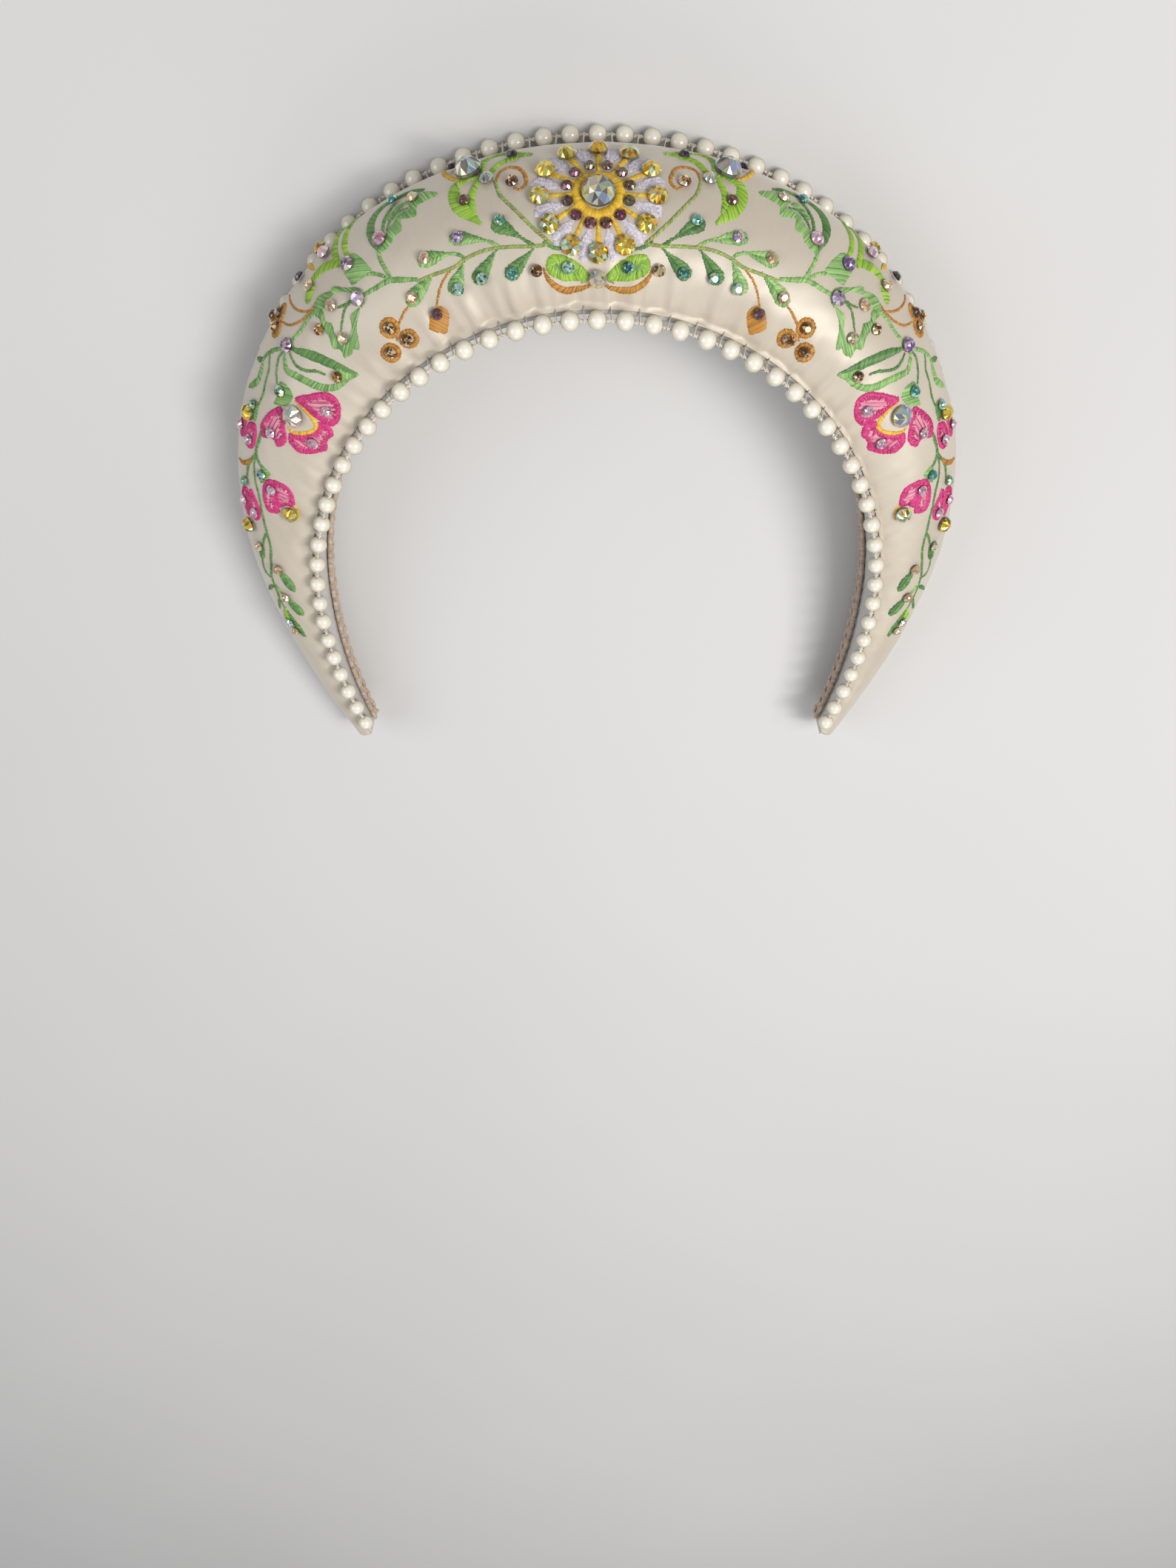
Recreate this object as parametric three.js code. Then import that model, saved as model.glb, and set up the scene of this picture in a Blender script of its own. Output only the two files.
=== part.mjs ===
// Kokoshnik headdress: a padded satin band with two pearl strands, an inner lining
// with a braid, and cut stones set over its front.
//
// Lengths are millimetres. The band is drawn as it is worn: x across, e toward the back
// of the head, w up the arch, measured from the middle of the row of front pearls. It is
// then laid on its back face, which is how it rests on a table.
import * as THREE from 'three';

// Head opening, measured along the row of front pearls
const OPENING_HALF_WIDTH = 82.5;
const CROWN_ARCH_RISE = 89;
const END_LENGTH = 53.3;
const END_CURL_RADIUS = 140;

// Padded band. CREST_PLACE and SWELL_PLACE set where its outline is fullest, and
// BACK_SPLIT where its flat back face is divided, each as a share.
const CROWN_DEPTH = 38;
const FRONT_SLOPE = 0.108;
const BACK_SLOPE = 0.08;
const CROWN_HEIGHT = 31.5;
const PAD_CREST = 11.6;
const FRONT_SWELL = 5.5;
const CREST_PLACE = 0.42;
const SWELL_PLACE = 0.6;
const BACK_SPLIT = 0.6;

// Pearls on their thread
const PEARL_DIAMETER = 5;
const FRONT_PEARL_PITCH = 7;
const BACK_PEARL_PITCH = 7.1;
const THREAD_DIAMETER = 1;
const THREAD_TAIL = 2.5;

// Lining and braid inside the opening
const LINING_THICKNESS = 1.2;
const BRAID_THICKNESS = 1.2;
const BRAID_WIDTH = 5.5;
const TRIM_SETBACK = 0.8;
const TRIM_END_SETBACK = 3;

// Cut stones
const CENTER_STONE_DIAMETER = 8.4;
const CRYSTAL_DIAMETER = 7.1;
const COMPANION_DIAMETER = 3.6;
const FLOWER_STONE_DIAMETER = 6;
const BLOOM_STONE_DIAMETER = 4.6;
const PETAL_STONE_DIAMETER = 5;
const RING_STONE_DIAMETER = 2.9;
const PETAL_RADIUS = 14.4;
const RING_RADIUS = 7.9;
const MEDALLION_STONES = 12;

// Air between pieces that lie against each other
const CLEARANCE = 0.3;

// The padding from the crown (first row) to an end (last row) in equal steps, as shares
// of CROWN_HEIGHT, PAD_CREST and FRONT_SWELL.
const SECTIONS = [
  { height: 1.0, crest: 0.9, swell: 1.0 },
  { height: 1.01, crest: 0.97, swell: 1.0 },
  { height: 1.02, crest: 1.03, swell: 1.0 },
  { height: 0.97, crest: 1.01, swell: 0.93 },
  { height: 0.86, crest: 0.97, swell: 0.82 },
  { height: 0.67, crest: 0.85, swell: 0.69 },
  { height: 0.46, crest: 0.7, swell: 0.48 },
  { height: 0.3, crest: 0.47, swell: 0.33 },
  { height: 0.22, crest: 0.23, swell: 0.15 },
];

// Single stones, the same on both sides: along is the share of the way from the crown to
// an end, across the share of the way from the front seam to the back seam.
const SIDE_STONES = [
  { name: 'crown_crystal', along: 0.12, across: 0.69, diameter: CRYSTAL_DIAMETER, sides: 12 },
  { name: 'crown_companion', along: 0.104, across: 0.602, diameter: COMPANION_DIAMETER, sides: 8 },
  { name: 'flower_stone', along: 0.425, across: 0.297, diameter: FLOWER_STONE_DIAMETER, sides: 12 },
  { name: 'outer_flower_stone', along: 0.465, across: 0.575, diameter: BLOOM_STONE_DIAMETER, sides: 8 },
  { name: 'bud_stone', along: 0.559, across: 0.168, diameter: BLOOM_STONE_DIAMETER, sides: 8 },
  { name: 'outer_bud_stone', along: 0.605, across: 0.512, diameter: BLOOM_STONE_DIAMETER, sides: 8 },
];
const MEDALLION_ACROSS = 0.468;

// How finely curved surfaces are cut
const BAND_STATIONS = 49;
const PANEL_STEPS = 11;
const TRIM_STATIONS = 41;
const PEARL_SIDES = 10;

const PEARL_RADIUS = PEARL_DIAMETER / 2;
const SEAM_REACH = PEARL_RADIUS + CLEARANCE;
// The front seam lies outside and behind the pearls, and touches neither.
const FRONT_SEAM = { r: 0.62 * SEAM_REACH, e: 0.82 * SEAM_REACH };
// The back pearls lie outside and behind the back seam.
const BACK_PEARL = { r: 0.56 * SEAM_REACH, e: 0.87 * SEAM_REACH };

// The row of front pearls in the plane of the arch: half an ellipse with two inward curls.
class PearlArch extends THREE.Curve {
  getPoint(t, target = new THREE.Vector3()) {
    const side = t < 0.5 ? -1 : 1;
    const endTurn = END_LENGTH / END_CURL_RADIUS;
    const turn = Math.abs(2 * t - 1) * (Math.PI / 2 + endTurn);
    if (turn <= Math.PI / 2) {
      const x = OPENING_HALF_WIDTH * Math.sin(turn);
      const w = CROWN_ARCH_RISE * (Math.cos(turn) - 1);
      return target.set(side * x, 0, w);
    }
    const curl = turn - Math.PI / 2;
    const x = OPENING_HALF_WIDTH - END_CURL_RADIUS * (1 - Math.cos(curl));
    const w = -CROWN_ARCH_RISE - END_CURL_RADIUS * Math.sin(curl);
    return target.set(side * x, 0, w);
  }
}

const arch = new PearlArch();
arch.arcLengthDivisions = 800;
const ARCH_LENGTH = arch.getLength();

const frontE = (w) => -FRONT_SLOPE * w;
const backE = (w) => CROWN_DEPTH + BACK_SLOPE * w;

// Smooth value of one column of SECTIONS at a share of the way from crown to end.
function padding(column, share) {
  const last = SECTIONS.length - 1;
  const place = Math.min(share, 1) * last;
  const i = Math.min(Math.floor(place), last - 1);
  const f = place - i;
  const at = (k) => SECTIONS[Math.min(Math.abs(k), last)][column];
  const [a, b, c, d] = [at(i - 1), at(i), at(i + 1), at(i + 2)];
  const bend = (2 * a - 5 * b + 4 * c - d) * f * f + (3 * (b - c) + d - a) * f * f * f;
  return b + 0.5 * ((c - a) * f + bend);
}

// The band's section at along = -1 (left end) ... 1 (right end). A place in it has r, out
// from the row of front pearls in the plane of the arch, and e, toward the back.
function sectionAt(along) {
  const t = (along + 1) / 2;
  const foot = arch.getPointAt(t);
  const tangent = arch.getTangentAt(t);
  const out = new THREE.Vector3(-tangent.z, 0, tangent.x);
  const share = Math.abs(along);
  const height = CROWN_HEIGHT * padding('height', share);
  const seamW = foot.z + out.z * height;
  return {
    foot,
    out,
    height,
    crest: PAD_CREST * padding('crest', share),
    swell: FRONT_SWELL * padding('swell', share),
    frontSeamE: frontE(foot.z) + FRONT_SEAM.e,
    backSeamE: backE(seamW),
    innerBackE: backE(foot.z + out.z * FRONT_SEAM.r),
  };
}

function place(section, r, e) {
  const p = section.foot.clone().addScaledVector(section.out, r);
  return p.setY(e);
}

// Outline of the padded panel from its front seam to its back seam, in (r, e).
function panelCurve(section) {
  const { height, crest, swell, frontSeamE, backSeamE } = section;
  const depth = backSeamE - frontSeamE;
  const rise = height - FRONT_SEAM.r;
  return new THREE.CubicBezierCurve(
    new THREE.Vector2(FRONT_SEAM.r, frontSeamE),
    new THREE.Vector2(FRONT_SEAM.r + SWELL_PLACE * rise, frontSeamE - swell),
    new THREE.Vector2(height + crest, frontSeamE + CREST_PLACE * depth),
    new THREE.Vector2(height, backSeamE),
  );
}

function panelPoint(along, across) {
  const section = sectionAt(along);
  const at = panelCurve(section).getPointAt(across);
  return place(section, at.x, at.y);
}

// A closed body through rings of points, each ring with as many points as the last, or
// half or twice as many. Every ring turns the same way round the path.
function bodyThroughRings(rings) {
  const positions = [];
  const faces = [];
  const starts = [];
  for (const ring of rings) {
    starts.push(positions.length / 3);
    for (const p of ring) positions.push(p.x, p.y, p.z);
  }
  for (let k = 0; k + 1 < rings.length; k++) {
    const n = rings[k].length;
    const m = rings[k + 1].length;
    const from = (i) => starts[k] + (i % n);
    const to = (i) => starts[k + 1] + (i % m);
    const steps = Math.max(n, m);
    for (let i = 0; i < steps; i++) {
      const a = Math.floor((i * n) / steps);
      const b = Math.floor(((i + 1) * n) / steps);
      const c = Math.floor((i * m) / steps);
      const d = Math.floor(((i + 1) * m) / steps);
      if (b > a) faces.push(from(a), from(b), to(d));
      if (d > c) faces.push(from(a), to(d), to(c));
    }
  }
  const last = starts.length - 1;
  for (let i = 1; i + 1 < rings[0].length; i++) {
    faces.push(starts[0], starts[0] + i + 1, starts[0] + i);
  }
  for (let i = 1; i + 1 < rings[last].length; i++) {
    faces.push(starts[last], starts[last] + i, starts[last] + i + 1);
  }
  const geometry = new THREE.BufferGeometry();
  geometry.setAttribute('position', new THREE.Float32BufferAttribute(positions, 3));
  geometry.setIndex(faces);
  return geometry;
}

function stations(count, reach) {
  const list = [];
  for (let i = 0; i < count; i++) list.push(((2 * i) / (count - 1) - 1) * reach);
  return list;
}

function paddedBand() {
  const rings = stations(BAND_STATIONS, 1).map((along) => {
    const section = sectionAt(along);
    const curve = panelCurve(section);
    const splitR = FRONT_SEAM.r + BACK_SPLIT * (section.height - FRONT_SEAM.r);
    const split = place(section, splitR, 0);
    const ring = [
      place(section, FRONT_SEAM.r, section.innerBackE),
      split.setY(backE(split.z)),
    ];
    for (let i = PANEL_STEPS; i >= 0; i--) {
      const at = curve.getPointAt(i / PANEL_STEPS);
      ring.push(place(section, at.x, at.y));
    }
    return ring;
  });
  return bodyThroughRings(rings);
}

// A flat strip on the inner wall: outer is its face toward the band, from and to its edges.
function innerStrip(outer, thickness, from, to) {
  const reach = 1 - TRIM_END_SETBACK / (ARCH_LENGTH / 2);
  const rings = stations(TRIM_STATIONS, reach).map((along) => {
    const section = sectionAt(along);
    return [
      place(section, outer - thickness, to(section)),
      place(section, outer, to(section)),
      place(section, outer, from(section)),
      place(section, outer - thickness, from(section)),
    ];
  });
  return bodyThroughRings(rings);
}

const liningOuter = FRONT_SEAM.r - CLEARANCE;
const braidOuter = liningOuter - LINING_THICKNESS - CLEARANCE;
const trimBack = (section) => section.innerBackE - TRIM_SETBACK;
const liningFront = (section) => section.frontSeamE + TRIM_SETBACK;
const braidFront = (section) => Math.max(trimBack(section) - BRAID_WIDTH, liningFront(section));

// A ring of points round a path, the first one on the side that faces the back.
function ringRound(path, distance, radius, count) {
  const t = distance / path.getLength();
  const center = path.getPointAt(t);
  const tangent = path.getTangentAt(t);
  const back = new THREE.Vector3(0, 1, 0).addScaledVector(tangent, -tangent.y).normalize();
  const side = new THREE.Vector3().crossVectors(tangent, back);
  const ring = [];
  for (let i = 0; i < count; i++) {
    const angle = (2 * Math.PI * i) / count;
    const p = center.clone().addScaledVector(back, radius * Math.cos(angle));
    ring.push(p.addScaledVector(side, radius * Math.sin(angle)));
  }
  return ring;
}

// Pearls on a thread along a path, as one body. Each pearl is cut at its two ends and at
// two rings near its widest place.
function pearlStrand(path, pitch) {
  const length = path.getLength();
  const perSide = Math.floor((length / 2 - THREAD_TAIL - PEARL_RADIUS) / pitch);
  const neck = THREAD_DIAMETER / 2;
  const neckReach = 0.94 * PEARL_RADIUS;
  const bellyReach = 0.38 * PEARL_RADIUS;
  const belly = 0.97 * PEARL_RADIUS;
  const rings = [];
  const add = (distance, radius, count) => rings.push(ringRound(path, distance, radius, count));
  const first = length / 2 - perSide * pitch;
  const last = length / 2 + perSide * pitch;
  add(first - PEARL_RADIUS - THREAD_TAIL / 2, neck, PEARL_SIDES / 2);
  for (let k = -perSide; k <= perSide; k++) {
    const middle = length / 2 + k * pitch;
    add(middle - neckReach, neck, PEARL_SIDES / 2);
    add(middle - bellyReach, belly, PEARL_SIDES);
    add(middle + bellyReach, belly, PEARL_SIDES);
    add(middle + neckReach, neck, PEARL_SIDES / 2);
  }
  add(last + PEARL_RADIUS + THREAD_TAIL / 2, neck, PEARL_SIDES / 2);
  return bodyThroughRings(rings);
}

function strandPath(centerAt) {
  const points = stations(161, 1).map((along) => centerAt(sectionAt(along)));
  const path = new THREE.CatmullRomCurve3(points);
  path.arcLengthDivisions = 1600;
  return path;
}

const frontPearlPath = strandPath((section) => place(section, 0, frontE(section.foot.z)));
const backPearlPath = strandPath((section) => {
  const p = place(section, section.height + BACK_PEARL.r, 0);
  return p.setY(backE(p.z) + BACK_PEARL.e);
});

// A flat-backed cut stone with a table and two facets for each side of its girdle.
function cutStone(along, across, diameter, sides) {
  const center = panelPoint(along, across);
  const step = 0.004;
  const ahead = panelPoint(along + step, across).sub(panelPoint(along - step, across));
  const over = panelPoint(along, across + step).sub(panelPoint(along, across - step));
  const normal = new THREE.Vector3().crossVectors(ahead, over).normalize();
  const u = ahead.clone().normalize();
  const v = new THREE.Vector3().crossVectors(normal, u);
  const levels = [
    { rise: 0, size: 0.9, turn: 0 },
    { rise: 0.1, size: 1, turn: 0 },
    { rise: 0.4, size: 0.5, turn: 0.5 },
  ];
  const rings = levels.map(({ rise, size, turn }) => {
    const ring = [];
    for (let i = 0; i < sides; i++) {
      const angle = (2 * Math.PI * (i + turn)) / sides;
      const p = center.clone().addScaledVector(normal, CLEARANCE + rise * diameter);
      p.addScaledVector(u, (size * diameter * Math.cos(angle)) / 2);
      ring.push(p.addScaledVector(v, (size * diameter * Math.sin(angle)) / 2));
    }
    return ring;
  });
  return bodyThroughRings(rings);
}

// Shares of along and across for a place a given distance from the medallion's middle.
const crownPanelLength = panelCurve(sectionAt(0)).getLength();
const alongPerMillimetre = 0.02 / panelPoint(0.02, MEDALLION_ACROSS).distanceTo(
  panelPoint(0, MEDALLION_ACROSS),
);
function medallionStone(radius, index, turn, diameter) {
  const angle = (2 * Math.PI * (index + turn)) / MEDALLION_STONES;
  const along = radius * Math.sin(angle) * alongPerMillimetre;
  const across = MEDALLION_ACROSS + (radius * Math.cos(angle)) / crownPanelLength;
  return cutStone(along, across, diameter, 8);
}

const object = new THREE.Group();
object.name = 'kokoshnik';

function add(name, geometry, color, roughness = 0.5) {
  const material = new THREE.MeshStandardMaterial({ color, roughness });
  const mesh = new THREE.Mesh(geometry, material);
  mesh.name = name;
  object.add(mesh);
}

const strip = (outer, thickness, from) => innerStrip(outer, thickness, from, trimBack);
add('padded_band', paddedBand(), 0xd8cebd, 0.4);
add('inner_lining', strip(liningOuter, LINING_THICKNESS, liningFront), 0xc9c7c4, 0.8);
add('lining_braid', strip(braidOuter, BRAID_THICKNESS, braidFront), 0xb09a7c, 0.8);
add('front_pearl_strand', pearlStrand(frontPearlPath, FRONT_PEARL_PITCH), 0xe9e3d3, 0.2);
add('back_pearl_strand', pearlStrand(backPearlPath, BACK_PEARL_PITCH), 0xe9e3d3, 0.2);

add('center_stone', cutStone(0, MEDALLION_ACROSS, CENTER_STONE_DIAMETER, 12), 0xdfe6ea, 0.1);
for (let i = 0; i < MEDALLION_STONES; i++) {
  const label = String(i + 1).padStart(2, '0');
  const petal = medallionStone(PETAL_RADIUS, i, 0, PETAL_STONE_DIAMETER);
  const ring = medallionStone(RING_RADIUS, i, 0.5, RING_STONE_DIAMETER);
  add('petal_stone_' + label, petal, 0xd9c25a, 0.1);
  add('ring_stone_' + label, ring, 0x4d3a4a, 0.1);
}
for (const { name, along, across, diameter, sides } of SIDE_STONES) {
  add(name + '_left', cutStone(-along, across, diameter, sides), 0xdfe6ea, 0.1);
  add(name + '_right', cutStone(along, across, diameter, sides), 0xdfe6ea, 0.1);
}

// Lay the band on its back face and set it down on z = 0, centred on the origin.
const lay = new THREE.Matrix4().makeRotationX(Math.atan(BACK_SLOPE) - Math.PI / 2);
const bounds = new THREE.Box3();
for (const mesh of object.children) {
  mesh.geometry.applyMatrix4(lay);
  mesh.geometry.computeBoundingBox();
  bounds.union(mesh.geometry.boundingBox);
}
const middle = bounds.getCenter(new THREE.Vector3());
for (const mesh of object.children) {
  mesh.geometry.translate(-middle.x, -middle.y, -bounds.min.z);
  mesh.geometry.computeVertexNormals();
}

export default object;
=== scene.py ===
# The look of a kokoshnik headdress: a padded ivory satin band with embroidery, pearls
# and cut stones, lying on its back face. Places on the band are given as shares: along
# is -1 at the left end, 0 at the crown and 1 at the right end, across is 0 at the front
# seam and 1 at the back seam. Lengths inside the band's own frame are millimetres.
import math

import bpy
import numpy as np
from mathutils import Matrix, Vector


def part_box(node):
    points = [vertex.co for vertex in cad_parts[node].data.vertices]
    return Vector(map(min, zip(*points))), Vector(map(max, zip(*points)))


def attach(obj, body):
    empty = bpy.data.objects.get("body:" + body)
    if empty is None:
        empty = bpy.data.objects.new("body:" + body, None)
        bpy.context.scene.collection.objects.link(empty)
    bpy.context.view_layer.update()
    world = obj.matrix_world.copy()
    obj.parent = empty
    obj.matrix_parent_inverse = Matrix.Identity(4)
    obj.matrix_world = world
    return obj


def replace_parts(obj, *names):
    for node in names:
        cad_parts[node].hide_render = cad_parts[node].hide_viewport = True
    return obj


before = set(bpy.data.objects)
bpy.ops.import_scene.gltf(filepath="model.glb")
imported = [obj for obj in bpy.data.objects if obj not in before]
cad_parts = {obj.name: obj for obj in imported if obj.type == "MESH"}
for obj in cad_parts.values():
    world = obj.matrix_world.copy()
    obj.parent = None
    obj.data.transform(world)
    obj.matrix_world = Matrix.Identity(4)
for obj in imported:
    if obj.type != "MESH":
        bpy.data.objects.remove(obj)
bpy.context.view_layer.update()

MM = 0.001
TURN = 2 * math.pi
RNG = np.random.default_rng(7)

# Driving sizes of the band, as in the frame
OPENING_HALF_WIDTH = 82.5
CROWN_ARCH_RISE = 89.0
END_LENGTH = 53.3
END_CURL_RADIUS = 140.0
CROWN_DEPTH = 38.0
FRONT_SLOPE = 0.108
BACK_SLOPE = 0.08
CROWN_HEIGHT = 31.5
PAD_CREST = 11.6
FRONT_SWELL = 5.5
CREST_PLACE = 0.42
SWELL_PLACE = 0.6
PEARL_RADIUS = 2.5
FRONT_PEARL_PITCH = 7.0
BACK_PEARL_PITCH = 7.1
THREAD_TAIL = 2.5
CLEARANCE = 0.3
LINING_THICKNESS = 1.2
BRAID_THICKNESS = 1.2
BRAID_WIDTH = 5.5
TRIM_SETBACK = 0.8
TRIM_END_SETBACK = 3.0

SEAM_REACH = PEARL_RADIUS + CLEARANCE
FRONT_SEAM_R = 0.62 * SEAM_REACH
FRONT_SEAM_E = 0.82 * SEAM_REACH
BACK_PEARL_R = 0.56 * SEAM_REACH
BACK_PEARL_E = 0.87 * SEAM_REACH

# Padding in equal steps from the crown to an end, as shares of CROWN_HEIGHT, PAD_CREST
# and FRONT_SWELL.
SECTION_HEIGHT = [1.0, 1.01, 1.02, 0.97, 0.86, 0.67, 0.46, 0.3, 0.22]
SECTION_CREST = [0.9, 0.97, 1.03, 1.01, 0.97, 0.85, 0.7, 0.47, 0.23]
SECTION_SWELL = [1.0, 1.0, 1.0, 0.93, 0.82, 0.69, 0.48, 0.33, 0.15]

MEDALLION_ACROSS = 0.468
MEDALLION_STONES = 12
PETAL_RADIUS = 14.4
RING_RADIUS = 7.9


# Band surface

def arch_table(count=4001):
    """The row of front pearls in the plane of the arch: distance from the crown, x, w."""
    end_turn = END_LENGTH / END_CURL_RADIUS
    turn = np.linspace(0, math.pi / 2 + end_turn, count)
    curl = np.maximum(turn - math.pi / 2, 0)
    top = np.minimum(turn, math.pi / 2)
    x = OPENING_HALF_WIDTH * np.sin(top) - END_CURL_RADIUS * (1 - np.cos(curl))
    w = CROWN_ARCH_RISE * (np.cos(top) - 1) - END_CURL_RADIUS * np.sin(curl)
    distance = np.concatenate([[0], np.cumsum(np.hypot(np.diff(x), np.diff(w)))])
    return distance, x, w


ARCH_S, ARCH_X, ARCH_W = arch_table()
HALF_ARCH = ARCH_S[-1]


def spline(a, b, c, d, f):
    """Catmull-Rom value at the share f of the way from b to c."""
    bend = (2 * a - 5 * b + 4 * c - d) * f**2 + (3 * (b - c) + d - a) * f**3
    return b + 0.5 * ((c - a) * f + bend)


def padding(column, share):
    """Value of one section column at shares of the way from crown to end."""
    table = np.array(column)
    last = len(table) - 1
    step = np.clip(share, 0, 1) * last
    i = np.minimum(np.floor(step).astype(int), last - 1)
    return spline(*(table[np.minimum(np.abs(i + k), last)] for k in (-1, 0, 1, 2)), step - i)


def front_e(w):
    return -FRONT_SLOPE * w


def back_e(w):
    return CROWN_DEPTH + BACK_SLOPE * w


def arch(s):
    """x and w of the pearl row at a distance from the crown, to the left if negative."""
    far = np.abs(s)
    return np.sign(s) * np.interp(far, ARCH_S, ARCH_X), np.interp(far, ARCH_S, ARCH_W)


def sections(along):
    """Foot point, outward direction and padding of the band's sections."""
    along = np.asarray(along, float)
    share = np.abs(along)
    side = np.where(along < 0, -1.0, 1.0)
    s = share * HALF_ARCH
    (x, w), (x0, w0), (x1, w1) = arch(s), arch(s - 0.4), arch(np.minimum(s + 0.4, HALF_ARCH))
    length = np.hypot(x1 - x0, w1 - w0)
    out_x, out_w = -(w1 - w0) / length, (x1 - x0) / length
    height = CROWN_HEIGHT * padding(SECTION_HEIGHT, share)
    return {
        "x": side * x, "w": w, "out_x": side * out_x, "out_w": out_w, "height": height,
        "crest": PAD_CREST * padding(SECTION_CREST, share),
        "swell": FRONT_SWELL * padding(SECTION_SWELL, share),
        "front_seam": front_e(w) + FRONT_SEAM_E,
        "back_seam": back_e(w + out_w * height),
        "inner_back": back_e(w + out_w * FRONT_SEAM_R),
    }


def place(sec, r, e):
    """Points at r out from the pearl row and e toward the back, in the worn frame."""
    return np.stack([sec["x"] + sec["out_x"] * r, e + 0 * r, sec["w"] + sec["out_w"] * r], -1)


LEAN = math.atan(BACK_SLOPE)


def lay(points):
    """Worn frame to the frame of the band lying on its back face, still in millimetres."""
    x, e, w = np.moveaxis(np.asarray(points, float), -1, 0)
    y = e * math.sin(LEAN) + w * math.cos(LEAN)
    z = -e * math.cos(LEAN) + w * math.sin(LEAN)
    return np.stack([x, y, z], -1)


ALONG_GRID = np.linspace(-1, 1, 1601)
ACROSS_GRID = np.linspace(0, 1, 161)


def smooth_noise(along, across, seed, scale_along, scale_across):
    """Soft sum of sines, the same on every run, between about -1 and 1."""
    rng = np.random.default_rng(seed)
    total = np.zeros(np.broadcast(along, across).shape)
    for _ in range(7):
        ka, kc = rng.normal(0, scale_along), rng.normal(0, scale_across)
        total += np.sin(ka * along + kc * across + rng.uniform(0, TURN))
    return total / 3.5


def satin_relief(along, across):
    """How far the satin stands off the smooth padding, in millimetres, 0 or less."""
    near_front = np.exp(-(((across - 0.05) / 0.15) ** 2))
    near_back = np.exp(-(1 - across) / 0.1)
    crown = 0.35 + 0.65 * np.exp(-((along / 0.3) ** 2))
    sway = along + 0.008 * smooth_noise(along, across, 9, 30, 5)
    pull = 0.8 * smooth_noise(sway, 0, 3, 110, 0) + 0.8 - 1.6 * np.abs(np.sin(58 * sway))
    folds = 0.5 * crown * near_front * (pull - 1.6)
    tucks = 0.2 * near_back * (smooth_noise(along, across, 5, 70, 2) - 1.2)
    waves = 0.14 * (smooth_noise(along, across, 11, 18, 7) - 1.2)
    hollows = 0.11 * (smooth_noise(along, across, 13, 75, 15) - 1.2)
    edge = np.clip(across / 0.02, 0, 1) * np.clip((1 - across) / 0.02, 0, 1)
    return (folds + tucks + waves + hollows) * edge


def panel_grid():
    """Surface points of the satin panel on the share grid, and its width across."""
    sec = sections(ALONG_GRID[:, None])
    t = np.linspace(0, 1, 401)[None, :]
    seam = sec["front_seam"]
    depth, rise = sec["back_seam"] - seam, sec["height"] - FRONT_SEAM_R
    weights = [(1 - t) ** 3, 3 * t * (1 - t) ** 2, 3 * t**2 * (1 - t), t**3]
    r_points = [FRONT_SEAM_R, FRONT_SEAM_R + SWELL_PLACE * rise,
                sec["height"] + sec["crest"], sec["height"]]
    e_points = [seam, seam - sec["swell"], seam + CREST_PLACE * depth, sec["back_seam"]]
    r, e = (sum(weight * point for weight, point in zip(weights, points))
            for points in (r_points, e_points))
    steps = np.hypot(np.diff(r, axis=1), np.diff(e, axis=1))
    run = np.concatenate([np.zeros((len(r), 1)), np.cumsum(steps, axis=1)], axis=1)
    r, e = (np.array([np.interp(ACROSS_GRID * length[-1], length, row)
                      for length, row in zip(run, rows)]) for rows in (r, e))
    return lay(place(sec, r, e)), run[:, -1]


def rest_shift(panel):
    """What moves laid points onto the frame: the band's ends and back face meet its box."""
    low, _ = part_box("padded_band")
    return np.array([0.0, low[1] / MM - panel[..., 1].min(), low[2] / MM - panel[..., 2].min()])


def unit(v):
    return v / (np.linalg.norm(v, axis=-1, keepdims=True) + 1e-12)


def grid_normals(points):
    return unit(np.cross(np.gradient(points, axis=0), np.gradient(points, axis=1)))


SMOOTH_POINTS, PANEL_WIDTH = panel_grid()
SHIFT = rest_shift(SMOOTH_POINTS)
SMOOTH_POINTS = SMOOTH_POINTS + SHIFT
SMOOTH_NORMALS = grid_normals(SMOOTH_POINTS)
RELIEF = satin_relief(ALONG_GRID[:, None], ACROSS_GRID[None, :])
SATIN_POINTS = SMOOTH_POINTS + SMOOTH_NORMALS * RELIEF[..., None]
SATIN_NORMALS = grid_normals(SATIN_POINTS)
ALONG_SCALE = np.linalg.norm(np.gradient(SMOOTH_POINTS, ALONG_GRID, axis=0), axis=-1)


def rested(sec, r, e):
    """Points at r and e of the sections, in the frame in millimetres."""
    return lay(place(sec, r, e)) + SHIFT


def front_seam(sec):
    return rested(sec, FRONT_SEAM_R, sec["front_seam"])


def back_seam(sec):
    return rested(sec, sec["height"], sec["back_seam"])


def grid_value(grid, shares):
    """Bilinear value of a grid at places given as shares."""
    along, across = np.moveaxis(np.asarray(shares, float), -1, 0)
    i = (np.clip(along, -1, 1) + 1) / 2 * (len(ALONG_GRID) - 1)
    j = np.clip(across, 0, 1) * (len(ACROSS_GRID) - 1)
    i0 = np.clip(np.floor(i).astype(int), 0, len(ALONG_GRID) - 2)
    j0 = np.clip(np.floor(j).astype(int), 0, len(ACROSS_GRID) - 2)
    fi, fj = i - i0, j - j0
    if grid.ndim == 3:
        fi, fj = fi[..., None], fj[..., None]
    near = grid[i0, j0] * (1 - fj) + grid[i0, j0 + 1] * fj
    far = grid[i0 + 1, j0] * (1 - fj) + grid[i0 + 1, j0 + 1] * fj
    return near * (1 - fi) + far * fi


def scales(shares):
    """Millimetres for a whole share along and across at each place."""
    across = np.interp(shares[..., 0], ALONG_GRID, PANEL_WIDTH)
    return np.stack([grid_value(ALONG_SCALE, shares), across], -1)


# Meshes

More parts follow.
